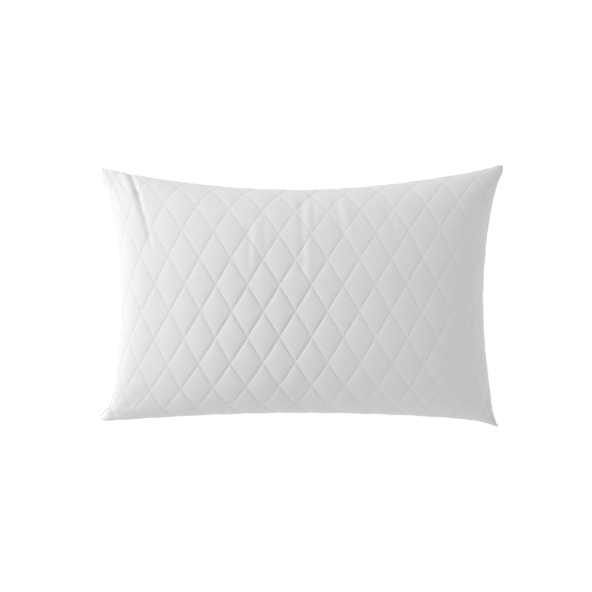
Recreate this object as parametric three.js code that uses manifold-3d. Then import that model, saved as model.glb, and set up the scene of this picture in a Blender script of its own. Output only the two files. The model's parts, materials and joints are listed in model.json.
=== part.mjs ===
// A quilted bed pillow with a zipped cover, lying on its back panel.
// Millimetres, +Z up, +X along the long side. The zip closes the short side at -X.
//
// From outside to inside: a quilted front panel and a quilted back panel (each a face
// fabric, a wadding and a lining), the zip between them, a two-panel inner case, the fill.

import * as THREE from 'three';
import Module from 'manifold-3d';
import { LoftGeometry } from 'three/addons/geometries/LoftGeometry.js';
import { mergeGeometries, mergeVertices } from 'three/addons/utils/BufferGeometryUtils.js';

const wasm = await Module();
wasm.setup();

// ---- Driving dimensions: the filled cover ----
const HALF_LENGTH = 326;        // to the seam, at the middle of a short side
const HALF_WIDTH = 201.5;       // to the seam, at the middle of a long side
const LONG_SIDE_PULL = 30;      // how far a long side is drawn in from its corners
const LONG_SIDE_SKEW = 11;      // the +Y side is drawn in by this much more, the -Y side by less
const SHORT_SIDE_RADIUS = 553;  // each short side is one arc, bent outwards and down at its ends
const SHORT_SIDE_TILT = THREE.MathUtils.degToRad(48);
const SEAM_HEIGHT = 80;         // the seam above the floor, at the middle of each side
const CROWN = 95;               // the front panel's rise above the seam
const BELLY = 95;               // the back panel's fall below the seam, before the floor flattens it
const CORNER_CUT = 0.02;        // share of the length and width taken off each corner tip
const CORNER_SHARPNESS = 24;    // the higher it is, the closer that cut stays to the tip
const LENGTH_FULLNESS = 3;      // how far the fullness holds out towards each side
const WIDTH_FULLNESS = 2.5;
const PLUMP_FROM = 0.12;        // layers reach their plump depths between these two fullnesses
const PLUMP_TO = 0.45;

// Depths below the cover's outer surface: at the seams, and where the quilting is plump.
const FACE = { outer: [0, 0], inner: [0.6, 0.6] };
const WADDING = { outer: [0.9, 0.9], inner: [1.7, 6.0] };
const LINING = { outer: [2.1, 6.5], inner: [2.7, 7.1] };
const CASE = { outer: [8.0, 8.0], inner: [8.6, 8.6] };
const FILL_DEPTH = [9.4, 9.4];

const SEAM_GAP = 0.5;           // each half stands off the seam plane by this much
const SLIT = 5.6;               // and by this much where the zip lies between the halves
const SLIT_END = 212;           // the slit is open to this distance from the middle of the side
const SLIT_CLOSED = 219;        // and has closed to the seam's gap here
const SLIT_FROM = 0.75;         // along the length it opens between these two shares of the half length
const SLIT_TO = 0.98;

const LENGTH_STEPS = 20;
const WIDTH_STEPS = 16;
const CURVE_STEPS = 6;
const WELD_DISTANCE = 1e-3;

// ---- Driving dimensions: the zip, as lengths along its arc, depths below the cover's
// outer surface, and widths from the line where the two chains meet ----
const CHAIN_HALF_RUN = 202;
const TAPE_HALF_RUN = 205;
const CHAIN_GAP = 0.6;
const CHAIN_WIDTH = 2.4;
const CHAIN_DEPTH = [1.9, 4.0];
const TAPE_WIDTH = 6.2;
const TAPE_DEPTH = [4.3, 4.9];
const ZIP_STEPS = 26;

const SLIDER_LENGTH = 12;
const SLIDER_HALF_WIDTH = 4.2;
const SLIDER_WALL = 1;
const SLIDER_TOP = [0.25, 1.55];
const SLIDER_FLANGE_END = 3.95;
const SLIDER_FOOT = [5.2, 6.3];
const SLIDER_WEB = 0.3;
const STOP_GAP = 0.5;           // between the slider and a stop, at either end of its run
const STOP_STANDOFF = 0.5;      // between a stop and the end of the chain
const STOP_LENGTH = 2.2;
const STOP_OVERHANG = 0.4;

const BAIL = { halfLength: 4, halfWidth: 0.8, height: 3.3, post: 1.2, roof: 1.0 };
const PULL = {
  length: 28, halfWidth: 2.5, eyeHalfWidth: 2.8, neckHalfWidth: 1.7, thickness: 1.4,
  bar: 0.6, windowEnd: 5.2, windowHalfWidth: 1.5, rise: 0.85, shoulder: 1.5, taper: 1,
};
const PULL_REST_ANGLE = THREE.MathUtils.degToRad(32);   // away from the chain at rest

// ---- Materials ----
const fabric = (color, roughness) => new THREE.MeshStandardMaterial({ color, roughness, metalness: 0 });
const faceCloth = fabric(0xe9ecef, 0.85);
const wadding = fabric(0xf6f6f2, 0.95);
const liningCloth = fabric(0xe4e6e8, 0.9);
const caseCloth = fabric(0xf1f1ee, 0.9);
const fibre = fabric(0xfafafa, 1);
const tapeCloth = fabric(0xe6e8ea, 0.8);
const nylon = fabric(0xeff0f2, 0.4);
const metal = new THREE.MeshStandardMaterial({ color: 0xb9bbbd, roughness: 0.3, metalness: 1 });

// ---- The pillow's form ----

/** How far the short side's arc has bent away from its middle, at y. */
function arcDrop(y) {
  return SHORT_SIDE_RADIUS - Math.sqrt(SHORT_SIDE_RADIUS ** 2 - y * y);
}

/** The height at which one half's edge lies: the seam's height, and half the slit at the zip. */
function edgeHeight(x, y, side) {
  const bend = arcDrop(y);
  const lengthShare = x / (HALF_LENGTH + bend * Math.cos(SHORT_SIDE_TILT));
  const seam = SEAM_HEIGHT - bend * Math.sin(SHORT_SIDE_TILT) * lengthShare ** 2;
  const nearZip = THREE.MathUtils.smoothstep(-lengthShare, SLIT_FROM, SLIT_TO);
  const besideZip = 1 - THREE.MathUtils.smoothstep(Math.abs(y), SLIT_END, SLIT_CLOSED);
  return seam + side * (SEAM_GAP + (SLIT - SEAM_GAP) * nearZip * besideZip);
}

/**
 * A point of the form. s and t run from -1 to 1 along the length and the width, side is 1
 * for the front half and -1 for the back half, and depth is [at the seams, where plump].
 */
function formPoint(s, t, side, depth) {
  const lengthwise = Math.sqrt(1 - Math.abs(s) ** LENGTH_FULLNESS);
  const widthwise = Math.sqrt(1 - Math.abs(t) ** WIDTH_FULLNESS);
  const fullness = lengthwise * widthwise;
  const plump = THREE.MathUtils.smoothstep(fullness, PLUMP_FROM, PLUMP_TO);
  const inset = THREE.MathUtils.lerp(depth[0], depth[1], plump);

  const tip = 1 - CORNER_CUT * Math.abs(s * t) ** CORNER_SHARPNESS;
  const halfWidth = HALF_WIDTH + (LONG_SIDE_PULL + LONG_SIDE_SKEW * t) * s * s;
  const y = t * tip * (halfWidth - inset);
  const halfLength = HALF_LENGTH + arcDrop(y) * Math.cos(SHORT_SIDE_TILT);
  const x = s * tip * (halfLength - inset);

  const rise = ((side > 0 ? CROWN : BELLY) - inset) * fullness;
  const z = edgeHeight(x, y, side) + side * rise;
  return new THREE.Vector3(x, y, Math.max(inset, z));
}

/** Values from -1 to 1, closer together towards both ends. */
function crowded(steps) {
  return Array.from({ length: steps + 1 }, (_, i) => Math.sin((i / steps - 0.5) * Math.PI));
}

/** Joins the shared vertices of a geometry, so that only its shape is left. */
function weld(geometry) {
  geometry.deleteAttribute('normal');
  geometry.deleteAttribute('uv');
  const welded = mergeVertices(new THREE.BufferGeometry().copy(geometry), WELD_DISTANCE);
  welded.computeVertexNormals();
  return welded;
}

/** The solid between an upper and a lower surface, each given as a function of s and t. */
function solidBetween(upper, lower) {
  const lengths = crowded(LENGTH_STEPS);
  const widths = crowded(WIDTH_STEPS);
  const border = [
    ...lengths.map((s) => [s, -1]),
    ...widths.slice(1).map((t) => [1, t]),
    ...lengths.toReversed().slice(1).map((s) => [s, 1]),
    ...widths.toReversed().slice(1, -1).map((t) => [-1, t]),
  ];
  const sheet = (surface) => {
    const sections = lengths.map((s) => widths.toReversed().map((t) => surface(s, t)));
    return new LoftGeometry(sections, { closed: false });
  };
  const underside = sheet(lower);
  underside.index.array.reverse();
  const rim = new LoftGeometry([lower, upper].map((surface) => border.map(([s, t]) => surface(s, t))));
  return weld(mergeGeometries([sheet(upper), underside, rim]));
}

/** One half of a layer: a dished shell between two depths, open at the seam plane. */
function halfShell(layer, side) {
  const outer = (s, t) => formPoint(s, t, side, layer.outer);
  const inner = (s, t) => formPoint(s, t, side, layer.inner);
  return side > 0 ? solidBetween(outer, inner) : solidBetween(inner, outer);
}

/** The fill: one solid whose front and back surfaces meet in a narrow band at the seam line. */
function fillGeometry() {
  const front = (s, t) => formPoint(s, t, 1, FILL_DEPTH);
  const back = (s, t) => formPoint(s, t, -1, FILL_DEPTH);
  return solidBetween(front, back);
}

// ---- The zip's arc: pieces are drawn at the middle of the short side, where depth runs
// along +X, the zip along Y and its width along Z, and are then turned about the arc's axis ----
const zipMiddle = new THREE.Vector3(-HALF_LENGTH, 0, SEAM_HEIGHT);
const toCentre = new THREE.Vector3(-Math.cos(SHORT_SIDE_TILT), 0, -Math.sin(SHORT_SIDE_TILT));
const zipCentre = zipMiddle.clone().addScaledVector(toCentre, SHORT_SIDE_RADIUS);
const zipAxis = new THREE.Vector3(toCentre.z, 0, -toCentre.x);

/** The turn that carries a piece from the middle of the zip to a run along its arc. */
function alongZip(run) {
  const back = new THREE.Matrix4().makeTranslation(zipCentre.clone().negate());
  const turn = new THREE.Matrix4().makeRotationAxis(zipAxis, run / SHORT_SIDE_RADIUS);
  const out = new THREE.Matrix4().makeTranslation(zipCentre);
  return out.multiply(turn).multiply(back);
}

/** A point at the middle of the zip, by its depth, its run along Y and its width. */
function zipPoint(depth, run, width) {
  return new THREE.Vector3(depth, run, width).add(zipMiddle);
}

/** A bar of rectangular section along the zip. Side 1 is the front panel's, -1 the back's. */
function zipBar(depths, widths, runs, side, steps) {
  const [near, far] = side > 0 ? widths : [-widths[1], -widths[0]];
  const corners = [
    zipPoint(depths[0], 0, near), zipPoint(depths[0], 0, far),
    zipPoint(depths[1], 0, far), zipPoint(depths[1], 0, near),
  ];
  const sections = Array.from({ length: steps + 1 }, (_, i) => {
    const place = alongZip(THREE.MathUtils.lerp(runs[0], runs[1], i / steps));
    return corners.map((corner) => corner.clone().applyMatrix4(place));
  });
  return weld(new LoftGeometry(sections, { capStart: true, capEnd: true }));
}

const chainRuns = [-CHAIN_HALF_RUN, CHAIN_HALF_RUN];
const tapeRuns = [-TAPE_HALF_RUN, TAPE_HALF_RUN];
const chain = (side) => zipBar(CHAIN_DEPTH, [CHAIN_GAP, CHAIN_WIDTH], chainRuns, side, ZIP_STEPS);
const tape = (side) => zipBar(TAPE_DEPTH, [CHAIN_GAP, TAPE_WIDTH], tapeRuns, side, ZIP_STEPS);

const stopDepth = [CHAIN_DEPTH[0] - STOP_OVERHANG, CHAIN_DEPTH[1]];
const stopWidth = CHAIN_WIDTH + STOP_OVERHANG;
const stopStart = CHAIN_HALF_RUN + STOP_STANDOFF;
const stopEnd = stopStart + STOP_LENGTH;

/** A top stop: a clamped bead at the closed end of one chain. */
function topStop(side) {
  return zipBar(stopDepth, [CHAIN_GAP, stopWidth], [-stopEnd, -stopStart], side, 1);
}

/** The bottom stop: one clamped bead across both chains at the far end. */
function bottomStop() {
  return zipBar(stopDepth, [-stopWidth, stopWidth], [stopStart, stopEnd], 1, 1);
}

// ---- The slider and its pull ----

function toSolid(geometry) {
  const welded = weld(geometry);
  return new wasm.Manifold(new wasm.Mesh({
    numProp: 3,
    vertProperties: new Float32Array(welded.attributes.position.array),
    triVerts: new Uint32Array(welded.index.array),
  }));
}

function fromSolid(solid) {
  const mesh = solid.getMesh();
  const geometry = new THREE.BufferGeometry();
  geometry.setAttribute('position', new THREE.BufferAttribute(mesh.vertProperties, 3));
  geometry.setIndex(new THREE.BufferAttribute(mesh.triVerts, 1));
  geometry.computeVertexNormals();
  return geometry;
}

/** Extrudes a shape by a thickness, centred, and lays its axes along the given directions. */
function extruded(shape, thickness, xAxis, yAxis) {
  const settings = { depth: thickness, bevelEnabled: false, curveSegments: CURVE_STEPS };
  const geometry = new THREE.ExtrudeGeometry(shape, settings);
  geometry.translate(0, 0, -thickness / 2);
  const zAxis = xAxis.clone().cross(yAxis);
  return geometry.applyMatrix4(new THREE.Matrix4().makeBasis(xAxis, yAxis, zAxis));
}

function outline(points) {
  return new THREE.Shape(points.map(([x, y]) => new THREE.Vector2(x, y)));
}

const inward = new THREE.Vector3(1, 0, 0);
const outward = new THREE.Vector3(-1, 0, 0);
const openingWay = new THREE.Vector3(0, 1, 0);
const closingWay = new THREE.Vector3(0, -1, 0);
const upWidth = new THREE.Vector3(0, 0, 1);

/** The channel that grips both chains: a top plate with flanges, a thin web, and a foot. */
function channelShape() {
  const wall = SLIDER_HALF_WIDTH - SLIDER_WALL;
  const half = [
    [SLIDER_TOP[0], SLIDER_HALF_WIDTH], [SLIDER_FLANGE_END, SLIDER_HALF_WIDTH],
    [SLIDER_FLANGE_END, wall], [SLIDER_TOP[1], wall], [SLIDER_TOP[1], SLIDER_WEB],
    [SLIDER_FOOT[0], SLIDER_WEB], [SLIDER_FOOT[0], SLIDER_HALF_WIDTH], [SLIDER_FOOT[1], SLIDER_HALF_WIDTH],
  ];
  const mirrored = half.toReversed().map(([depth, width]) => [depth, -width]);
  return outline([...half, ...mirrored]);
}

/** The bail: a small arch on the top plate that holds the pull's bar. */
function bailShape() {
  const inner = BAIL.halfLength - BAIL.post;
  const roof = BAIL.height - BAIL.roof;
  const foot = -SLIDER_TOP[1] + SLIDER_TOP[0];
  return outline([
    [-BAIL.halfLength, foot], [-inner, foot], [-inner, roof - BAIL.roof], [-inner + BAIL.roof, roof],
    [inner - BAIL.roof, roof], [inner, roof - BAIL.roof], [inner, foot], [BAIL.halfLength, foot],
    [BAIL.halfLength, roof], [inner, BAIL.height], [-inner, BAIL.height], [-BAIL.halfLength, roof],
  ]);
}

function sliderGeometry() {
  const channel = extruded(channelShape(), SLIDER_LENGTH, inward, upWidth);
  const bail = extruded(bailShape(), 2 * BAIL.halfWidth, openingWay, outward);
  bail.translate(SLIDER_TOP[0], 0, 0);
  const geometry = fromSolid(toSolid(channel).add(toSolid(bail)));
  return geometry.translate(...zipMiddle.toArray());
}

/** The pull: a flat tab with a window, whose end bar passes under the bail. */
function pullShape() {
  const shape = new THREE.Shape();
  const shoulder = PULL.windowEnd + PULL.shoulder;
  const neck = shoulder + PULL.taper;
  shape.moveTo(-PULL.bar, -PULL.eyeHalfWidth);
  shape.lineTo(PULL.windowEnd, -PULL.eyeHalfWidth);
  shape.quadraticCurveTo(shoulder, -PULL.eyeHalfWidth, neck, -PULL.neckHalfWidth);
  shape.lineTo(PULL.length - PULL.halfWidth, -PULL.halfWidth);
  shape.absarc(PULL.length - PULL.halfWidth, 0, PULL.halfWidth, -Math.PI / 2, Math.PI / 2);
  shape.lineTo(neck, PULL.neckHalfWidth);
  shape.quadraticCurveTo(shoulder, PULL.eyeHalfWidth, PULL.windowEnd, PULL.eyeHalfWidth);
  shape.lineTo(-PULL.bar, PULL.eyeHalfWidth);
  const window = [
    [PULL.bar, -PULL.windowHalfWidth], [PULL.bar, PULL.windowHalfWidth],
    [PULL.windowEnd, PULL.windowHalfWidth], [PULL.windowEnd, -PULL.windowHalfWidth],
  ];
  shape.holes.push(new THREE.Path(window.map(([x, y]) => new THREE.Vector2(x, y))));
  return shape;
}

function pullGeometry() {
  const tab = weld(extruded(pullShape(), PULL.thickness, closingWay, upWidth));
  tab.applyMatrix4(new THREE.Matrix4().makeRotationZ(-PULL_REST_ANGLE));
  return tab.translate(-PULL.rise, 0, 0).translate(...zipMiddle.toArray());
}

// ---- Assembly ----
const sliderRest = alongZip(-(CHAIN_HALF_RUN - STOP_GAP - SLIDER_LENGTH / 2));
const pieces = [
  ['front_face_fabric', halfShell(FACE, 1), faceCloth],
  ['front_wadding', halfShell(WADDING, 1), wadding],
  ['front_lining', halfShell(LINING, 1), liningCloth],
  ['back_face_fabric', halfShell(FACE, -1), faceCloth],
  ['back_wadding', halfShell(WADDING, -1), wadding],
  ['back_lining', halfShell(LINING, -1), liningCloth],
  ['inner_case_top', halfShell(CASE, 1), caseCloth],
  ['inner_case_bottom', halfShell(CASE, -1), caseCloth],
  ['fibre_fill', fillGeometry(), fibre],
  ['zip_tape_front', tape(1), tapeCloth],
  ['zip_tape_back', tape(-1), tapeCloth],
  ['zip_chain_front', chain(1), nylon],
  ['zip_chain_back', chain(-1), nylon],
  ['zip_top_stop_front', topStop(1), metal],
  ['zip_top_stop_back', topStop(-1), metal],
  ['zip_bottom_stop', bottomStop(), metal],
  ['zip_slider', sliderGeometry().applyMatrix4(sliderRest), metal],
  ['zip_pull', pullGeometry().applyMatrix4(sliderRest), metal],
];

const pillow = new THREE.Group();
for (const [name, geometry, material] of pieces) {
  const mesh = new THREE.Mesh(geometry, material);
  mesh.name = name;
  pillow.add(mesh);
}

// The origin is under the middle of the bounding box, on the floor.
const bounds = new THREE.Box3().setFromObject(pillow);
const middle = bounds.getCenter(new THREE.Vector3());
pillow.position.set(-middle.x, -middle.y, -bounds.min.z);

export default pillow;
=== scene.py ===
"""The looks of the quilted pillow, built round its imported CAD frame.

Lengths are in metres, in the row frame: Z is up, and the pillow lies on its back panel.
Each panel is drawn on its flat fabric: u runs along the length and v across it, both from its centre.
"""

import json
import math

import bmesh
import bpy
import numpy as np
from mathutils import Matrix, Vector


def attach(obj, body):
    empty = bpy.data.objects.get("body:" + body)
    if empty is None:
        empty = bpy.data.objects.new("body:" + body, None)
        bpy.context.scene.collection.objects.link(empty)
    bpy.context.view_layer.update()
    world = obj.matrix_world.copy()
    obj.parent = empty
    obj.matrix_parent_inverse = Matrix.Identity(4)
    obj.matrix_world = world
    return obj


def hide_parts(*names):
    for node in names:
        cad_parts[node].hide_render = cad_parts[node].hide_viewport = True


MM = 0.001

# The form that the CAD model's panels have, in its own frame. CORNER_CUT is a share, and the three
# values after it are powers.
HALF_LENGTH = 326 * MM
HALF_WIDTH = 201.5 * MM
LONG_SIDE_PULL = 30 * MM
LONG_SIDE_SKEW = 11 * MM
SHORT_SIDE_RADIUS = 553 * MM
SHORT_SIDE_TILT = math.radians(48)
SEAM_HEIGHT = 80 * MM
FULLNESS = 95 * MM
CORNER_CUT = 0.02
CORNER_SHARPNESS = 24
LENGTH_FULLNESS = 3
WIDTH_FULLNESS = 2.5

# The opening that the zip closes. It widens between two shares of the half length, and closes
# between two distances from the middle of the short side. The hem is turned in to the tape.
SLIT_HALF_WIDTH = 5.6 * MM
SLIT_FROM = 0.75
SLIT_TO = 0.98
SLIT_END = 195 * MM
SLIT_CLOSED = 208 * MM
HEM_DEPTH = 4.2 * MM

# The quilting: rows of diamonds, with one crossing of two stitch lines at QUILT_ORIGIN. The puffs and
# creases are multiplied by the first of their shares far from the plumpest place, by the second at it.
DIAMOND_HALF_LENGTH = 27.55 * MM
DIAMOND_HALF_WIDTH = 44.8 * MM
QUILT_ORIGIN = (-12.2 * MM, -16.7 * MM)
CREASE_DEPTH = 0.9 * MM
CREASE_WIDTH = 1.1 * MM
PUFF_HEIGHT = 1.6 * MM
PUFF_WIDTH = 8 * MM
PUFF_SHARES = (0.5, 2.1)
CREASE_SHARES = (0.85, 1.75)
PLUMPEST = (-70 * MM, -40 * MM)
PLUMPEST_REACH = 150 * MM
FRONT_DETAIL = 18
BACK_DETAIL = 12

# The stitches, and places along one: their shares of its length, their lifts and their sizes.
STITCH_LENGTH = 2.9 * MM
STITCH_PITCH = 3.7 * MM
THREAD_HALF_WIDTH = 0.5 * MM
THREAD_HALF_HEIGHT = 0.35 * MM
THREAD_SIDES = 5
THREAD_SHARES = np.array([0, 0.12, 0.5, 0.88, 1])
THREAD_LIFTS = np.array([-0.35, 0.2, 0.35, 0.2, -0.35]) * MM
THREAD_SIZES = np.array([0.5, 0.9, 1, 0.9, 0.5])
SEAM_MARGIN = 3 * MM
ZIP_STITCH_INSET = 5 * MM

# The cloth: cell size, simulated frames, the furthest a point may move, how much looser it is cut in
# the middle and beside the seam, how far in from the seam the second reaches, passes of softening,
# and the pressure inside.
CLOTH_STEP = 7.2 * MM
CLOTH_FRAMES = 30
CLOTH_CAP = 22 * MM
LOOSENESS = 0.002
GATHER = 0.06
GATHER_REACH = 45 * MM
SOFTENING = 2
CLOTH_PRESSURE = 6

# The zip's nylon coil. Widths are from the line where the two halves meet, depths from the seam.
COIL_PITCH = 1.5 * MM
COIL_STEPS = 10
COIL_WIRE_RADIUS = 0.3 * MM
COIL_WIDTH = (-0.35 * MM, 2.5 * MM)
COIL_DEPTH = (2.1 * MM, 3.8 * MM)
CHAIN_HALF_RUN = 202 * MM

# The inner pillow and the filling: their cells, and the lengths of their lumps along and across.
FORM_STEPS = (80, 54)
LUMP_LENGTHS = (23 * MM, 19 * MM)

# Each pull on the outline: which end of u and of v it is at, how far it moves the cloth along x and
# y, the power by which each move fades along its side, how far the rounded tip draws back along x
# and y, and the tip's size. Lengths are in mm. A pull whose tip doesn't draw back shapes part of a side.
EARS = (
    (-1, 1, (-24, 13), (9, 18), (13, 8), 20),
    (1, 1, (24, 14), (14, 20), (12, 11), 14),
    (1, 1, (0, 6), (1, 1), (0, 0), 1),
    (1, -1, (30, -21), (24, 16), (13, 11), 13),
    (1, -1, (-8, 0), (6, 1), (0, 0), 1),
    (-1, -1, (-24, -3), (18, 26), (4, 4), 12),
)
EDGE_POWER = 12
TIP_POWER = 1.3

# Beside the seam. The pinch draws the cloth in, and grows from nothing to full between two distances
# from a corner. The pucker is a wave of small gathers, of three lengths. All the relief of the cloth
# rises from nothing at the seam.
PINCH_DEPTH = 2.6 * MM
PINCH_WIDTH = 3.2 * MM
PINCH_START = (15 * MM, 60 * MM)
PUCKER_HEIGHT = 0.4 * MM
PUCKER_REACH = 14 * MM
PUCKER_RISE = 5 * MM
PUCKER_LENGTHS = (3.1 * MM, 17 * MM, 41 * MM)
RELIEF_RISE = 9 * MM

# Each fold: its two ends on the fabric, its half width and its height, in mm. A valley's is negative.
FRONT_FOLDS = (
    ((-286, 236), (-279, 184), 4.5, -3.2),
    ((-279, 174), (-268, 110), 5, -2.4),
    ((-297, 226), (-288, 160), 7, 1.8),
    ((-323, 200), (-311, 150), 8, -1.4),
    ((-92, 120), (-92, 76), 6, -0.9),
    ((-80, 122), (-82, 80), 6, 0.7),
    ((-64, 132), (-64, 86), 6, -0.8),
    ((-2, 178), (0, 62), 6, -0.9),
    ((10, 168), (11, 62), 7, 0.8),
    ((16, 226), (19, 150), 6, -0.8),
    ((56, 176), (67, 130), 7, -0.9),
    ((68, 178), (79, 132), 7, 0.7),
    ((140, 162), (155, 124), 8, -0.7),
    ((8, 42), (145, 42), 15, 1.2),
    ((340, 76), (304, 57), 5, -1.1),
    ((336, 63), (308, 48), 6, 0.8),
    ((352, 3), (294, -10), 7, -1.1),
    ((356, 232), (326, 186), 8, -2.2),
    ((316, 172), (300, 138), 12, -1.3),
    ((333, -180), (348, -232), 5, -2.4),
    ((-348, -172), (-316, -226), 6, -1.6),
)
FOLD_FADE = 22 * MM

# The camera looks straight down, from a height over the seam. The floor glows so that it is white.
CAMERA_HEIGHT = 2.516
CAMERA_SIDE = (-4.65 * MM, -0.8 * MM)
LENS = 85
SENSOR_WIDTH = 36

FLOOR_HALF_SIZE = 30
FLOOR_DROP = 0.5 * MM
FLOOR_GLOW = 0.68
KEY_PLACE = (-2.7, 0.95, 1.5)
KEY_AIM = (0, 0, 0.08)
KEY_SIZE = (1.2, 1.2)
KEY_POWER = 47
WORLD_COLOUR = (0.985, 0.99, 1, 1)
WORLD_STRENGTH = 0.74


def smoothstep(value, low, high):
    share = np.clip((value - low) / (high - low), 0, 1)
    return share * share * (3 - 2 * share)


def lerp(a, b, share):
    return a + (b - a) * share


# ---------------------------------------------------------------- the base form

def arc_drop(y):
    """How far the arc of a short side falls back from its middle, y across from it."""
    return SHORT_SIDE_RADIUS - np.sqrt(SHORT_SIDE_RADIUS**2 - y**2)


def base_form(s, t, side):
    """A panel's surface at shares s of its half length and t of its half width."""
    fullness = np.sqrt(np.maximum(0, 1 - np.abs(s) ** LENGTH_FULLNESS))
    fullness = fullness * np.sqrt(np.maximum(0, 1 - np.abs(t) ** WIDTH_FULLNESS))
    tip = 1 - CORNER_CUT * np.abs(s * t) ** CORNER_SHARPNESS
    y = t * tip * (HALF_WIDTH + (LONG_SIDE_PULL + LONG_SIDE_SKEW * t) * s * s)
    bend = arc_drop(y)
    x = s * tip * (HALF_LENGTH + bend * math.cos(SHORT_SIDE_TILT))
    share = x / (HALF_LENGTH + bend * math.cos(SHORT_SIDE_TILT))
    seam = SEAM_HEIGHT - bend * math.sin(SHORT_SIDE_TILT) * share * share
    z = seam + side * FULLNESS * fullness
    return np.stack([x, y, np.maximum(z, 0)], axis=-1)


def half_arc(points):
    """The signed length along a line of points, from its middle one to each of them."""
    steps = np.linalg.norm(np.diff(points, axis=0), axis=1)
    length = np.concatenate([[0], np.cumsum(steps)])
    return length - length[len(length) // 2]


SHARES = np.sin(np.linspace(-1, 1, 4001) * math.pi / 2)
U_OF_SHARE = half_arc(base_form(SHARES, 0 * SHARES, 1))
V_OF_SHARE = half_arc(base_form(0 * SHARES, SHARES, 1))
HALF_U = U_OF_SHARE[-1]
HALF_V = V_OF_SHARE[-1]


def fabric_form(u, v, side):
    """The base form at fabric points, for a grid of u by v."""
    s = np.interp(u, U_OF_SHARE, SHARES)
    t = np.interp(v, V_OF_SHARE, SHARES)
    s, t = np.meshgrid(s, t, indexing="ij")
    return base_form(s, t, side)


# ---------------------------------------------------------------- the inflated cloth

def cloth_grid():
    u = np.linspace(-HALF_U, HALF_U, 2 * round(HALF_U / CLOTH_STEP) + 1)
    v = np.linspace(-HALF_V, HALF_V, 2 * round(HALF_V / CLOTH_STEP) + 1)
    return u, v


def facing_quads(front, back):
    """The faces of two grids of vertex numbers, the second one turned to face the other way."""
    faces = []
    for grid, order in ((front, (0, 1, 2, 3)), (back, (3, 2, 1, 0))):
        corners = np.stack([grid[:-1, :-1], grid[1:, :-1], grid[1:, 1:], grid[:-1, 1:]], axis=-1)
        faces.extend(corners.reshape(-1, 4)[:, order].tolist())
    return faces


def inflate():
    """How far each panel's cloth moves from the base form when the two are sewn and filled."""
    u, v = cloth_grid()
    nu, nv = len(u), len(v)
    start = [fabric_form(u, v, side) for side in (1, -1)]
    inside = np.zeros((nu, nv), bool)
    inside[1:-1, 1:-1] = True
    front = np.arange(nu * nv).reshape(nu, nv)
    back = front.copy()
    back[inside] = nu * nv + np.arange(inside.sum())
    points = np.concatenate([start[0].reshape(-1, 3), start[1][inside]])
    edge = np.minimum.outer(HALF_U - np.abs(u), HALF_V - np.abs(v))
    fuller = np.exp(-((edge / GATHER_REACH) ** 2))
    fuller = np.concatenate([fuller.ravel(), fuller[inside]])
    mesh = bpy.data.meshes.new("cloth")
    mesh.from_pydata(points.tolist(), [], facing_quads(front, back))
    cloth = bpy.data.objects.new("cloth", mesh)
    bpy.context.scene.collection.objects.link(cloth)
    seam = cloth.vertex_groups.new(name="seam")
    seam.add(front[~inside].tolist(), 1, "REPLACE")
    gather = cloth.vertex_groups.new(name="gather")
    for number, weight in enumerate(fuller.tolist()):
        gather.add([number], weight, "REPLACE")
    modifier = cloth.modifiers.new("cloth", "CLOTH")
    settings = modifier.settings
    settings.vertex_group_shrink = "gather"
    settings.shrink_min = -LOOSENESS
    settings.shrink_max = -GATHER
    settings.vertex_group_mass = "seam"
    settings.quality = 8
    settings.mass = 0.25
    settings.tension_stiffness = 40
    settings.compression_stiffness = 40
    settings.shear_stiffness = 20
    settings.bending_stiffness = 0.5
    settings.use_pressure = True
    settings.uniform_pressure_force = CLOTH_PRESSURE
    settings.effector_weights.gravity = 0
    modifier.point_cache.frame_end = CLOTH_FRAMES
    for number in range(1, CLOTH_FRAMES + 1):
        bpy.context.scene.frame_set(number)
    graph = bpy.context.evaluated_depsgraph_get()
    done = cloth.evaluated_get(graph).to_mesh()
    moved = np.empty(len(points) * 3)
    done.vertices.foreach_get("co", moved)
    moved = moved.reshape(-1, 3)
    bpy.context.scene.frame_set(1)
    bpy.data.objects.remove(cloth)
    return [settled(moved[index] - form) for index, form in ((front, start[0]), (back, start[1]))]


def settled(moves):
    """The cloth's moves, none past the cap, with creases sharper than its cells evened out."""
    length = np.linalg.norm(moves, axis=-1, keepdims=True)
    moves = moves * np.minimum(1, CLOTH_CAP / np.maximum(length, MM))
    for _ in range(SOFTENING):
        moves[1:-1] = (moves[:-2] + 2 * moves[1:-1] + moves[2:]) / 4
        moves[:, 1:-1] = (moves[:, :-2] + 2 * moves[:, 1:-1] + moves[:, 2:]) / 4
    return moves


def spread(values, old, new):
    """Smooth resampling of rows of values from the even positions old to the positions new."""
    step = (old[-1] - old[0]) / (len(old) - 1)
    position = (new - old[0]) / step
    first = np.clip(np.floor(position).astype(int), 0, len(old) - 2)
    f = (position - first)[:, None, None]
    a, b, c, d = (values[np.clip(first + k, 0, len(old) - 1)] for k in (-1, 0, 1, 2))
    return b + 0.5 * f * (c - a + f * (2 * a - 5 * b + 4 * c - d + f * (3 * (b - c) + d - a)))


# ---------------------------------------------------------------- the panels

def lattice(start, half_size, pitch):
    """Even positions through start, and the fabric's two edges, with no gap under 0.4 of a pitch."""
    first = math.ceil((-half_size - start) / pitch + 0.4)
    last = math.floor((half_size - start) / pitch - 0.4)
    inner = start + pitch * np.arange(first, last + 1)
    return np.concatenate([[-half_size], inner, [half_size]])


def line_distances(u, v):
    """How far each fabric point is from the nearest stitch line of each direction."""
    a = (u - QUILT_ORIGIN[0]) / DIAMOND_HALF_LENGTH
    b = (v - QUILT_ORIGIN[1]) / DIAMOND_HALF_WIDTH
    scale = 2 / math.hypot(1 / DIAMOND_HALF_LENGTH, 1 / DIAMOND_HALF_WIDTH)
    rising = (a - b) / 2
    falling = (a + b) / 2
    return scale * np.abs(rising - np.round(rising)), scale * np.abs(falling - np.round(falling))


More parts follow.
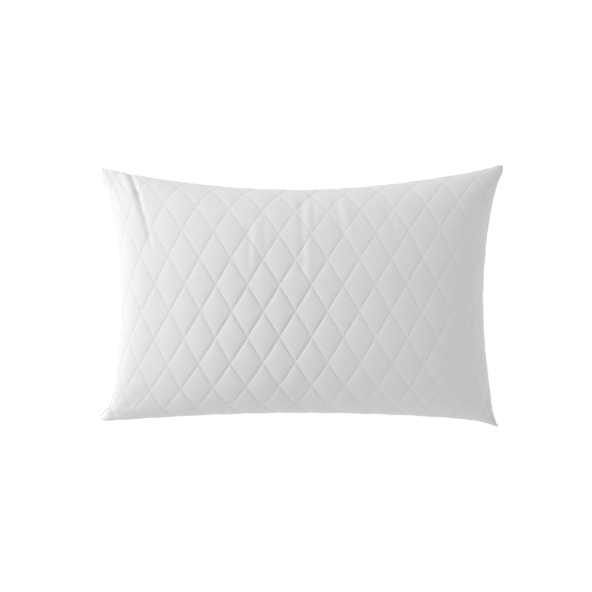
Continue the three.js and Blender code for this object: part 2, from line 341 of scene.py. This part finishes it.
def quilting(u, v):
    """The height of the quilted surface over the smooth one: soft puffs with a sharp crease between."""
    rising, falling = line_distances(u, v)
    puff = (1 - np.exp(-rising / PUFF_WIDTH)) * (1 - np.exp(-falling / PUFF_WIDTH))
    crease = 1 - (1 - np.exp(-rising / CREASE_WIDTH)) * (1 - np.exp(-falling / CREASE_WIDTH))
    from_u, from_v = (u - PLUMPEST[0]) / PLUMPEST_REACH, (v - PLUMPEST[1]) / PLUMPEST_REACH
    plump = np.exp(-(from_u**2) - from_v**2)
    height = PUFF_HEIGHT * lerp(*PUFF_SHARES, plump) * puff
    return height - CREASE_DEPTH * lerp(*CREASE_SHARES, plump) * crease


def grid_normals(points, side):
    along = np.gradient(points, axis=0)
    across = np.gradient(points, axis=1)
    normal = side * np.cross(along, across)
    return normal / np.maximum(np.linalg.norm(normal, axis=-1, keepdims=True), 1e-12)


def seam_pucker(u, v):
    """Small gathers that run in from the seam."""
    edge = np.minimum(HALF_U - np.abs(u), HALF_V - np.abs(v))
    run = np.where(HALF_U - np.abs(u) < HALF_V - np.abs(v), v, u)
    fine, drift, swell = (run / length for length in PUCKER_LENGTHS)
    wave = np.sin(fine + 2 * np.sin(drift)) * np.sin(swell + 1)
    return PUCKER_HEIGHT * wave * np.exp(-edge / PUCKER_REACH) * smoothstep(edge, 0, PUCKER_RISE)


def slit_lift(points, side):
    """How far the zip's opening holds a panel's edge from the middle of the seam."""
    share = -points[..., 0] / (HALF_LENGTH + arc_drop(points[..., 1]) * math.cos(SHORT_SIDE_TILT))
    near = smoothstep(share, SLIT_FROM, SLIT_TO)
    beside = 1 - smoothstep(np.abs(points[..., 1]), SLIT_END, SLIT_CLOSED)
    return side * SLIT_HALF_WIDTH * near * beside


def fold_height(u, v, folds):
    """The height that folds of the cover add: each is a soft ridge or valley with tapered ends."""
    total = np.zeros_like(u)
    for start, end, width, height in folds:
        start, end = np.array(start) * MM, np.array(end) * MM
        length = np.linalg.norm(end - start)
        way = (end - start) / length
        along = (u - start[0]) * way[0] + (v - start[1]) * way[1]
        off = (v - start[1]) * way[0] - (u - start[0]) * way[1]
        beyond = np.maximum(0, np.maximum(-along, along - length))
        fade = np.exp(-((beyond / FOLD_FADE) ** 2))
        total += height * MM * fade * np.exp(-((off / (width * MM)) ** 2))
    return total


def ears(u, v):
    """How far the corners reach out past the base form, with their tips rounded."""
    total = np.zeros((*u.shape, 3))
    along, across = np.interp(u, U_OF_SHARE, SHARES), np.interp(v, V_OF_SHARE, SHARES)
    for end_u, end_v, reach, fade, back, size in EARS:
        share_u = np.maximum(0, end_u * along)
        share_v = np.maximum(0, end_v * across)
        tip = np.maximum(0, 1 - (1 - share_u) * HALF_LENGTH / (size * MM))
        tip = tip * np.maximum(0, 1 - (1 - share_v) * HALF_WIDTH / (size * MM))
        tip = tip**TIP_POWER
        pull_x = reach[0] * share_v ** fade[0] * share_u**EDGE_POWER
        pull_y = reach[1] * share_u ** fade[1] * share_v**EDGE_POWER
        total[..., 0] += (pull_x - end_u * back[0] * tip) * MM
        total[..., 1] += (pull_y - end_v * back[1] * tip) * MM
    return total


def seam_pinch(u, v):
    """How far the seam draws the cloth in, beside the long sides and the short side without a zip."""
    to_end, to_side = HALF_U - np.abs(u), HALF_V - np.abs(v)
    corner = smoothstep(np.maximum(to_end, to_side), *PINCH_START)
    depth = corner * np.exp(-np.minimum(to_end, to_side) / PINCH_WIDTH) * PINCH_DEPTH
    at_end = to_end < to_side
    along = np.where(at_end & (u > 0), -depth, 0)
    across = np.where(at_end, 0, -np.sign(v) * depth)
    return np.stack([along, across, 0 * u], axis=-1)


def panel_points(u, v, side, moves):
    """Where a panel's fabric lies in the row frame, for a grid of u by v."""
    old_u, old_v = cloth_grid()
    across = spread(moves.transpose(1, 0, 2), old_v, v).transpose(1, 0, 2)
    points = fabric_form(u, v, side) + spread(across, old_u, u)
    grid_u, grid_v = np.meshgrid(u, v, indexing="ij")
    edge = np.minimum(HALF_U - np.abs(grid_u), HALF_V - np.abs(grid_v))
    height = quilting(grid_u, grid_v) + seam_pucker(grid_u, grid_v)
    if side > 0:
        height += fold_height(grid_u, grid_v, FRONT_FOLDS)
    height = height * smoothstep(edge, 0, RELIEF_RISE)
    points = points + grid_normals(points, side) * height[..., None] + ears(grid_u, grid_v)
    points = points + seam_pinch(grid_u, grid_v)
    points[..., 2] += slit_lift(points, side)
    points[..., 2] = np.maximum(points[..., 2], 0)
    return points + form_middle()


def zip_joint():
    """The joint that the slider runs on: its place is the centre of the zip's arc."""
    return next(joint for joint in frame["joints"] if joint["name"] == "slider_run")


def zip_inward(points):
    """The way into the pillow beside the zip: +X at its middle, turned with its arc elsewhere."""
    axis = np.array(zip_joint()["axis"])
    turn = np.arcsin((points[..., 1:2] - zip_joint()["pos_m"][1]) / SHORT_SIDE_RADIUS)
    straight = np.array([1, 0, 0])
    along_axis = axis * axis[0]
    return along_axis + (straight - along_axis) * np.cos(turn) + np.cross(axis, straight) * np.sin(turn)


def form_middle():
    """Where the form's own middle is in the row frame, from the centre of the zip's arc."""
    arc_x, arc_y, _ = zip_joint()["pos_m"]
    return np.array([arc_x + HALF_LENGTH + SHORT_SIDE_RADIUS * math.cos(SHORT_SIDE_TILT), arc_y, 0])


def grid_triangles(u, v, flip):
    """Two triangles a cell, whose shared edge follows the nearer stitch line."""
    nv = len(v)
    grid_u, grid_v = np.meshgrid((u[:-1] + u[1:]) / 2, (v[:-1] + v[1:]) / 2, indexing="ij")
    rising, falling = line_distances(grid_u, grid_v)
    i, j = np.meshgrid(np.arange(len(u) - 1), np.arange(nv - 1), indexing="ij")
    a, b = i * nv + j, (i + 1) * nv + j
    c, d = b + 1, a + 1
    up = (rising < falling)[..., None]
    first = np.where(up, np.stack([a, b, c], -1), np.stack([a, b, d], -1))
    second = np.where(up, np.stack([a, c, d], -1), np.stack([b, c, d], -1))
    triangles = np.concatenate([first.reshape(-1, 3), second.reshape(-1, 3)])
    return (triangles[:, ::-1] if flip else triangles).tolist()


def new_object(name, points, faces):
    """A smooth-shaded mesh object, from an array of points of any shape and a list of faces."""
    mesh = bpy.data.meshes.new(name)
    mesh.from_pydata(points.reshape(-1, 3).tolist(), [], faces)
    mesh.shade_smooth()
    piece = bpy.data.objects.new(name, mesh)
    bpy.context.scene.collection.objects.link(piece)
    return piece


class Panel:
    """One quilted panel: its fabric grid and where that lies."""

    def __init__(self, side, detail, moves):
        self.side = side
        self.u = lattice(QUILT_ORIGIN[0], HALF_U, DIAMOND_HALF_LENGTH / detail)
        self.v = lattice(QUILT_ORIGIN[1], HALF_V, DIAMOND_HALF_WIDTH / detail)
        self.points = panel_points(self.u, self.v, side, moves)
        self.normals = grid_normals(self.points, side)

    def at(self, u, v, values):
        """Values of the grid at fabric points u, v."""
        i = np.clip(np.searchsorted(self.u, u) - 1, 0, len(self.u) - 2)
        j = np.clip(np.searchsorted(self.v, v) - 1, 0, len(self.v) - 2)
        a = ((u - self.u[i]) / (self.u[i + 1] - self.u[i]))[..., None]
        b = ((v - self.v[j]) / (self.v[j + 1] - self.v[j]))[..., None]
        low = lerp(values[i, j], values[i + 1, j], a)
        high = lerp(values[i, j + 1], values[i + 1, j + 1], a)
        return lerp(low, high, b)

    def cover(self, name):
        """The panel's cloth, whose edge beside the zip is turned in to the tape."""
        hem = self.points[:1] + HEM_DEPTH * zip_inward(self.points[:1])
        u = np.concatenate([[self.u[0] - HEM_DEPTH], self.u])
        points = np.concatenate([hem, self.points])
        return new_object(name, points, grid_triangles(u, self.v, self.side < 0))

    def thread(self, name, starts, ends):
        """Stitches between fabric points, each a short thread that dips into the cloth at its ends."""
        spots = starts[:, None] + (ends - starts)[:, None] * THREAD_SHARES[:, None]
        normal = self.at(spots[..., 0], spots[..., 1], self.normals)
        line = self.at(spots[..., 0], spots[..., 1], self.points)
        line = line + normal * THREAD_LIFTS[:, None]
        way = line[:, -1:] - line[:, :1]
        way = way / np.linalg.norm(way, axis=-1, keepdims=True)
        beside = np.cross(way, normal)
        turn = np.arange(THREAD_SIDES) * 2 * math.pi / THREAD_SIDES
        ring = beside[:, :, None] * np.cos(turn)[:, None] * THREAD_HALF_WIDTH
        ring = ring + normal[:, :, None] * np.sin(turn)[:, None] * THREAD_HALF_HEIGHT
        points = line[:, :, None] + ring * THREAD_SIZES[:, None, None]
        points[..., 2] = np.maximum(points[..., 2], 0)
        return new_object(name, points, tube_faces(len(starts), len(THREAD_SHARES), THREAD_SIDES))

    def quilt_lines(self):
        """The ends of every quilting stitch, in fabric points."""
        starts, ends = [], []
        for slope in (1, -1):
            way = np.array([DIAMOND_HALF_LENGTH, slope * DIAMOND_HALF_WIDTH])
            way = way / np.linalg.norm(way)
            count = math.ceil((HALF_U + HALF_V) / DIAMOND_HALF_LENGTH)
            for number in range(-count, count + 1):
                base = np.array(QUILT_ORIGIN) + np.array([2 * number * DIAMOND_HALF_LENGTH, 0])
                along = np.arange(-HALF_V - HALF_U, HALF_V + HALF_U, STITCH_PITCH) + 0.3 * number * MM
                starts.append(base + along[:, None] * way)
                ends.append(base + (along + STITCH_LENGTH)[:, None] * way)
        return self.inside(np.concatenate(starts), np.concatenate(ends))

    def zip_line(self):
        """The ends of the stitches that hold the zip's tape, beside the opening."""
        run = np.arange(-HALF_V, HALF_V, STITCH_PITCH)
        across = np.full_like(run, ZIP_STITCH_INSET - HALF_U)
        starts = np.stack([across, run], axis=-1)
        return self.inside(starts, starts + np.array([0, STITCH_LENGTH]))

    def inside(self, starts, ends):
        room = np.array([HALF_U, HALF_V]) - SEAM_MARGIN
        kept = (np.abs(starts) < room).all(axis=-1) & (np.abs(ends) < room).all(axis=-1)
        return starts[kept], ends[kept]


def tube_faces(count, rings, sides):
    """The faces of many closed tubes of the same build."""
    ring, side = np.meshgrid(np.arange(rings - 1), np.arange(sides), indexing="ij")
    a = ring * sides + side
    b = ring * sides + (side + 1) % sides
    one = np.stack([a, b, b + sides, a + sides], axis=-1).reshape(-1, 4)
    walls = (one[None] + np.arange(count)[:, None, None] * rings * sides).reshape(-1, 4).tolist()
    near = np.arange(sides)[::-1]
    far = np.arange(sides) + (rings - 1) * sides
    caps = [(end + tube * rings * sides).tolist() for tube in range(count) for end in (near, far)]
    return walls + caps


# ---------------------------------------------------------------- the zip and the filling

def zip_points(depth, run, width):
    """Points of the zip: depth in from the seam, run along its arc, width up from its middle."""
    pivot, axis = Vector(zip_joint()["pos_m"]), Vector(zip_joint()["axis"])
    middle = form_middle()
    points = []
    for d, r, w in zip(depth, run, width):
        start = Vector((middle[0] - HALF_LENGTH + d, middle[1], SEAM_HEIGHT + w))
        turn = Matrix.Rotation(r / SHORT_SIDE_RADIUS, 3, axis)
        points.append(pivot + turn @ (start - pivot))
    return np.array(points)


def coil(name, side):
    """One half of the zip's chain: a flattened spiral of nylon wire."""
    turns = 2 * CHAIN_HALF_RUN / COIL_PITCH
    angle = np.arange(0, turns * COIL_STEPS) * 2 * math.pi / COIL_STEPS
    share = (1 - np.cos(angle)) / 2
    width = side * lerp(*COIL_WIDTH, share)
    depth = lerp(*COIL_DEPTH, (1 + np.sin(angle)) / 2)
    run = -CHAIN_HALF_RUN + COIL_PITCH * (angle / (2 * math.pi) + (0.5 if side < 0 else 0))
    line = zip_points(depth, np.minimum(run, CHAIN_HALF_RUN), width)
    way = np.gradient(line, axis=0)
    way = way / np.linalg.norm(way, axis=-1, keepdims=True)
    first = np.cross(way, [0.3, 0.1, 1])
    first = first / np.linalg.norm(first, axis=-1, keepdims=True)
    second = np.cross(way, first)
    turn = np.arange(THREAD_SIDES) * 2 * math.pi / THREAD_SIDES
    ring = first[:, None] * np.cos(turn)[:, None] + second[:, None] * np.sin(turn)[:, None]
    points = line[:, None] + COIL_WIRE_RADIUS * ring
    return new_object(name, points, tube_faces(1, len(line), THREAD_SIDES))


def closed_form(name, inset, lumps):
    """A closed pillow shape inside the cover, inset from it on every side."""
    s = np.sin(np.linspace(-1, 1, FORM_STEPS[0] + 1) * math.pi / 2)
    t = np.sin(np.linspace(-1, 1, FORM_STEPS[1] + 1) * math.pi / 2)
    s, t = np.meshgrid(s, t, indexing="ij")
    middle = np.array([0, 0, SEAM_HEIGHT])
    shrink = 1 - inset / np.array([HALF_LENGTH, HALF_WIDTH, SEAM_HEIGHT])
    index = np.arange(s.size).reshape(s.shape)
    under = index.copy()
    inner = (slice(1, -1), slice(1, -1))
    under[inner] = s.size + np.arange(index[inner].size).reshape(index[inner].shape)
    sheets = []
    for side in (1, -1):
        points = middle + (base_form(s, t, side) - middle) * shrink
        bumps = np.sin(points[..., 0] / LUMP_LENGTHS[0]) * np.sin(points[..., 1] / LUMP_LENGTHS[1] + 1)
        fade = np.minimum(1, 4 * (1 - np.abs(s))) * np.minimum(1, 4 * (1 - np.abs(t)))
        points[..., 2] -= side * lumps * (1 + bumps) * fade
        sheets.append(points)
    points = np.concatenate([sheets[0].reshape(-1, 3), sheets[1][inner].reshape(-1, 3)])
    return new_object(name, points + form_middle(), facing_quads(index, under))


def rounded_copy(name, node, radius):
    """A finer copy of a CAD piece, with its edges rounded."""
    source = frame["nodes"][node]
    mesh = source.data.copy()
    mesh.name = name
    work = bmesh.new()
    work.from_mesh(mesh)
    bmesh.ops.remove_doubles(work, verts=work.verts, dist=0.01 * MM)
    bmesh.ops.dissolve_limit(work, angle_limit=math.radians(1), verts=work.verts, edges=work.edges)
    work.to_mesh(mesh)
    work.free()
    piece = bpy.data.objects.new(name, mesh)
    bpy.context.scene.collection.objects.link(piece)
    bevel = piece.modifiers.new("edges", "BEVEL")
    bevel.width = radius
    bevel.segments = 3
    bevel.limit_method = "ANGLE"
    bevel.angle_limit = math.radians(35)
    bevel.harden_normals = True
    mesh.shade_smooth()
    return piece


# ---------------------------------------------------------------- materials

class Nodes:
    """A short way to add shader nodes and link them."""

    def __init__(self, name):
        self.material = bpy.data.materials.new(name)
        self.material.use_nodes = True
        self.tree = self.material.node_tree
        self.shader = self.tree.nodes["Principled BSDF"]
        self.place = self.add("ShaderNodeTexCoord").outputs["Object"]

    def add(self, kind, **settings):
        node = self.tree.nodes.new(kind)
        for name, value in settings.items():
            setattr(node, name, value)
        return node

    def put(self, socket, value):
        if isinstance(value, bpy.types.NodeSocket):
            self.tree.links.new(value, socket)
        else:
            socket.default_value = value

    def shine(self, **values):
        for name, value in values.items():
            self.put(self.shader.inputs[name.replace("_", " ")], value)

    def noise(self, scale, detail=3, stretch=(1, 1, 1)):
        mapping = self.add("ShaderNodeMapping")
        self.put(mapping.inputs["Vector"], self.place)
        mapping.inputs["Scale"].default_value = stretch
        node = self.add("ShaderNodeTexNoise")
        self.put(node.inputs["Vector"], mapping.outputs["Vector"])
        node.inputs["Scale"].default_value = scale
        node.inputs["Detail"].default_value = detail
        return node.outputs["Fac"]

    def bands(self, direction, pitch):
        """Ridges at a real pitch, across one direction."""
        node = self.add("ShaderNodeTexWave", bands_direction=direction)
        self.put(node.inputs["Vector"], self.place)
        node.inputs["Scale"].default_value = math.pi / (10 * pitch)
        return node.outputs["Fac"]

    def cells(self, size):
        node = self.add("ShaderNodeTexVoronoi")
        self.put(node.inputs["Vector"], self.place)
        node.inputs["Scale"].default_value = 1 / size
        return node.outputs["Distance"]

    def level(self, share, low, high):
        """A share from 0 to 1, as a value between low and high."""
        return self.math("ADD", self.math("MULTIPLY", share, high - low), low)

    def math(self, operation, a, b):
        node = self.add("ShaderNodeMath", operation=operation)
        self.put(node.inputs[0], a)
        self.put(node.inputs[1], b)
        return node.outputs[0]

    def between(self, share, low, high):
        node = self.add("ShaderNodeMix", data_type="RGBA")
        self.put(node.inputs["Factor"], share)
        self.put(node.inputs["A"], (*low, 1))
        self.put(node.inputs["B"], (*high, 1))
        return node.outputs["Result"]

    def bump(self, height, distance, strength=1):
        node = self.add("ShaderNodeBump")
        self.put(node.inputs["Height"], height)
        node.inputs["Distance"].default_value = distance
        node.inputs["Strength"].default_value = strength
        if self.shader.inputs["Normal"].is_linked:
            self.put(node.inputs["Normal"], self.shader.inputs["Normal"].links[0].from_socket)
        self.put(self.shader.inputs["Normal"], node.outputs["Normal"])


def face_fabric():
    """White brushed microfibre: a close weave, a soft nap and faint mottling."""
    n = Nodes("white_microfibre")
    cloud = n.noise(45, 4)
    nap = n.noise(900, 2)
    shade = n.math("ADD", n.math("MULTIPLY", cloud, 0.5), n.math("MULTIPLY", nap, 0.5))
    n.shine(Base_Color=n.between(shade, (0.69, 0.683, 0.7), (0.74, 0.733, 0.748)))
    n.shine(Roughness=n.level(cloud, 0.8, 0.9), Sheen_Weight=0.06, Sheen_Roughness=0.4)
    n.shine(Specular_IOR_Level=0.15)
    n.bump(n.math("MULTIPLY", n.bands("X", 0.6 * MM), n.bands("Y", 0.6 * MM)), 0.05 * MM, 0.6)
    n.bump(n.noise(1600, 2), 0.12 * MM, 0.6)
    n.bump(n.noise(260, 3), 0.4 * MM, 0.35)
    return n.material


def sewing_thread():
    """Bright twisted polyester, with its twist as slanting ridges."""
    n = Nodes("white_thread")
    n.shine(Base_Color=n.between(n.noise(700, 2), (0.88, 0.88, 0.89), (0.96, 0.96, 0.97)))
    n.shine(Roughness=0.5, Specular_IOR_Level=0.35)
    n.bump(n.bands("DIAGONAL", 0.5 * MM), 0.08 * MM, 0.6)
    return n.material


def zip_nylon():
    """Smooth drawn wire, duller where it has rubbed."""
    n = Nodes("white_nylon")
    rubbed = n.noise(350, 3)
    n.shine(Base_Color=n.between(rubbed, (0.74, 0.74, 0.75), (0.83, 0.83, 0.84)))
    n.shine(Roughness=n.level(rubbed, 0.28, 0.5), Specular_IOR_Level=0.5)
    n.bump(n.noise(2500, 2), 0.03 * MM, 0.4)
    return n.material


def zip_tape():
    """Woven tape: ribs across its length, crossed by a slanting twill."""
    n = Nodes("white_tape")
    twill = n.bands("DIAGONAL", 1.1 * MM)
    n.shine(Base_Color=n.between(twill, (0.7, 0.7, 0.71), (0.8, 0.8, 0.81)))
    n.shine(Roughness=n.level(n.noise(300, 2), 0.75, 0.88))
    n.bump(twill, 0.12 * MM, 0.6)
    n.bump(n.bands("Y", 0.7 * MM), 0.1 * MM, 0.6)
    return n.material


def nonwoven():
    """Spunbond inner case: bonded dimples in a cloudy web of fibres."""
    n = Nodes("white_nonwoven")
    n.shine(Base_Color=n.between(n.noise(120, 4), (0.78, 0.78, 0.77), (0.87, 0.87, 0.86)))
    n.shine(Roughness=n.level(n.noise(500, 2), 0.85, 0.95))
    n.bump(n.cells(2 * MM), 0.2 * MM, 0.7)
    n.bump(n.noise(1400, 2), 0.1 * MM, 0.5)
    return n.material


def loose_fibre():
    """Hollow fibre: tufts, with fine strands drawn out along them."""
    n = Nodes("white_fibre")
    tufts = n.noise(60, 5)
    n.shine(Base_Color=n.between(tufts, (0.8, 0.8, 0.8), (0.92, 0.92, 0.92)))
    n.shine(Roughness=n.level(tufts, 0.9, 1))
    n.bump(tufts, 2 * MM, 0.6)
    n.bump(n.noise(500, 3, (1, 0.15, 1)), 0.4 * MM, 0.6)
    return n.material


def nickel():
    """Nickel plate: drawn-out polishing marks, and duller worn patches."""
    n = Nodes("nickel")
    worn = n.noise(160, 4)
    marks = n.noise(900, 3, (1, 0.08, 1))
    n.shine(Base_Color=n.between(worn, (0.55, 0.545, 0.53), (0.68, 0.68, 0.67)), Metallic=1.0)
    n.shine(Roughness=n.level(worn, 0.2, 0.45))
    n.bump(marks, 0.02 * MM, 0.4)
    return n.material


def dress(piece, material):
    piece.data.materials.clear()
    piece.data.materials.append(material)


def place(piece, body, material, slot, *nodes):
    """Gives a new piece its material and its body, and hides the CAD nodes that it stands for."""
    dress(piece, material)
    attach(piece, body)
    if nodes:
        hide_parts(*nodes)


# ---------------------------------------------------------------- stage

def stage():
    mesh = bpy.data.meshes.new("floor")
    size = FLOOR_HALF_SIZE
    corners = [(-size, -size, 0), (size, -size, 0), (size, size, 0), (-size, size, 0)]
    mesh.from_pydata(corners, [], [(0, 1, 2, 3)])
    floor = bpy.data.objects.new("floor", mesh)
    bpy.context.scene.collection.objects.link(floor)
    n = Nodes("floor")
    n.shine(Base_Color=(0.45, 0.45, 0.45, 1), Roughness=1.0)
    n.shine(Emission_Color=(1, 1, 1, 1), Emission_Strength=FLOOR_GLOW)
    dress(floor, n.material)
    floor.location.z = -FLOOR_DROP


def area_light(name, spot, aim, size, power):
    data = bpy.data.lights.new(name, "AREA")
    data.shape = "RECTANGLE"
    data.size, data.size_y = size
    data.energy = power
    light = bpy.data.objects.new(name, data)
    light.location = spot
    light.rotation_euler = (Vector(aim) - Vector(spot)).to_track_quat("-Z", "Y").to_euler()
    bpy.context.scene.collection.objects.link(light)


def lights():
    area_light("key", KEY_PLACE, KEY_AIM, KEY_SIZE, KEY_POWER)
    world = bpy.data.worlds.new("world")
    world.use_nodes = True
    sky = world.node_tree.nodes["Background"]
    sky.inputs["Color"].default_value = WORLD_COLOUR
    sky.inputs["Strength"].default_value = WORLD_STRENGTH
    bpy.context.scene.world = world
    bpy.context.scene.view_settings.view_transform = "Standard"


def camera():
    data = bpy.data.cameras.new("camera")
    data.lens = LENS
    data.sensor_width = SENSOR_WIDTH
    piece = bpy.data.objects.new("camera", data)
    piece.location = (*CAMERA_SIDE, SEAM_HEIGHT + CAMERA_HEIGHT)
    bpy.context.scene.collection.objects.link(piece)
    bpy.context.scene.camera = piece


# ---------------------------------------------------------------- the whole scene

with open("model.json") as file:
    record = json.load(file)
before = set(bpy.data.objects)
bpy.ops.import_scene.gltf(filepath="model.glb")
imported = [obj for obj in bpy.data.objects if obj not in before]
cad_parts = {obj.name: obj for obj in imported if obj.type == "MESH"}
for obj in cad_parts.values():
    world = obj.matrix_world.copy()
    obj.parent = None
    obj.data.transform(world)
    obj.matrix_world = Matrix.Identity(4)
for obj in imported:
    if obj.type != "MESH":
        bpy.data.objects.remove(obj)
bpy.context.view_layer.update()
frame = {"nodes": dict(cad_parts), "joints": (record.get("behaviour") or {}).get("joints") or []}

camera()
stage()
lights()

fabric = face_fabric()
thread = sewing_thread()
nylon = zip_nylon()
tape = zip_tape()
case = nonwoven()
fibre = loose_fibre()
metal = nickel()

front_moves, back_moves = inflate()
for face, side, detail, moves in (
    ("front", 1, FRONT_DETAIL, front_moves),
    ("back", -1, BACK_DETAIL, back_moves),
):
    panel = Panel(side, detail, moves)
    cover = panel.cover(f"cover_{face}")
    place(
        cover, "pillow", fabric, "face_fabric",
        f"{face}_face_fabric", f"{face}_wadding", f"{face}_lining",
    )
    place(panel.thread(f"quilt_stitches_{face}", *panel.quilt_lines()), "pillow", thread, "face_fabric")
    place(panel.thread(f"zip_stitches_{face}", *panel.zip_line()), "pillow", thread, "face_fabric")
    place(coil(f"zip_coil_{face}", side), "pillow", nylon, "zip_nylon", f"zip_chain_{face}")

inner = closed_form("inner_pillow", inset=9 * MM, lumps=1 * MM)
place(inner, "pillow", case, "inner_case", "inner_case_top", "inner_case_bottom")
filling = closed_form("filling", inset=12 * MM, lumps=1.5 * MM)
place(filling, "pillow", fibre, "fibre", "fibre_fill")

place(rounded_copy("slider_body", "zip_slider", 0.3 * MM), "slider", metal, "zip_metal", "zip_slider")
place(rounded_copy("pull_tab", "zip_pull", 0.35 * MM), "pull", metal, "zip_metal", "zip_pull")
for face in ("front", "back"):
    dress(frame["nodes"][f"zip_tape_{face}"], tape)
    dress(frame["nodes"][f"zip_top_stop_{face}"], metal)
dress(frame["nodes"]["zip_bottom_stop"], metal)
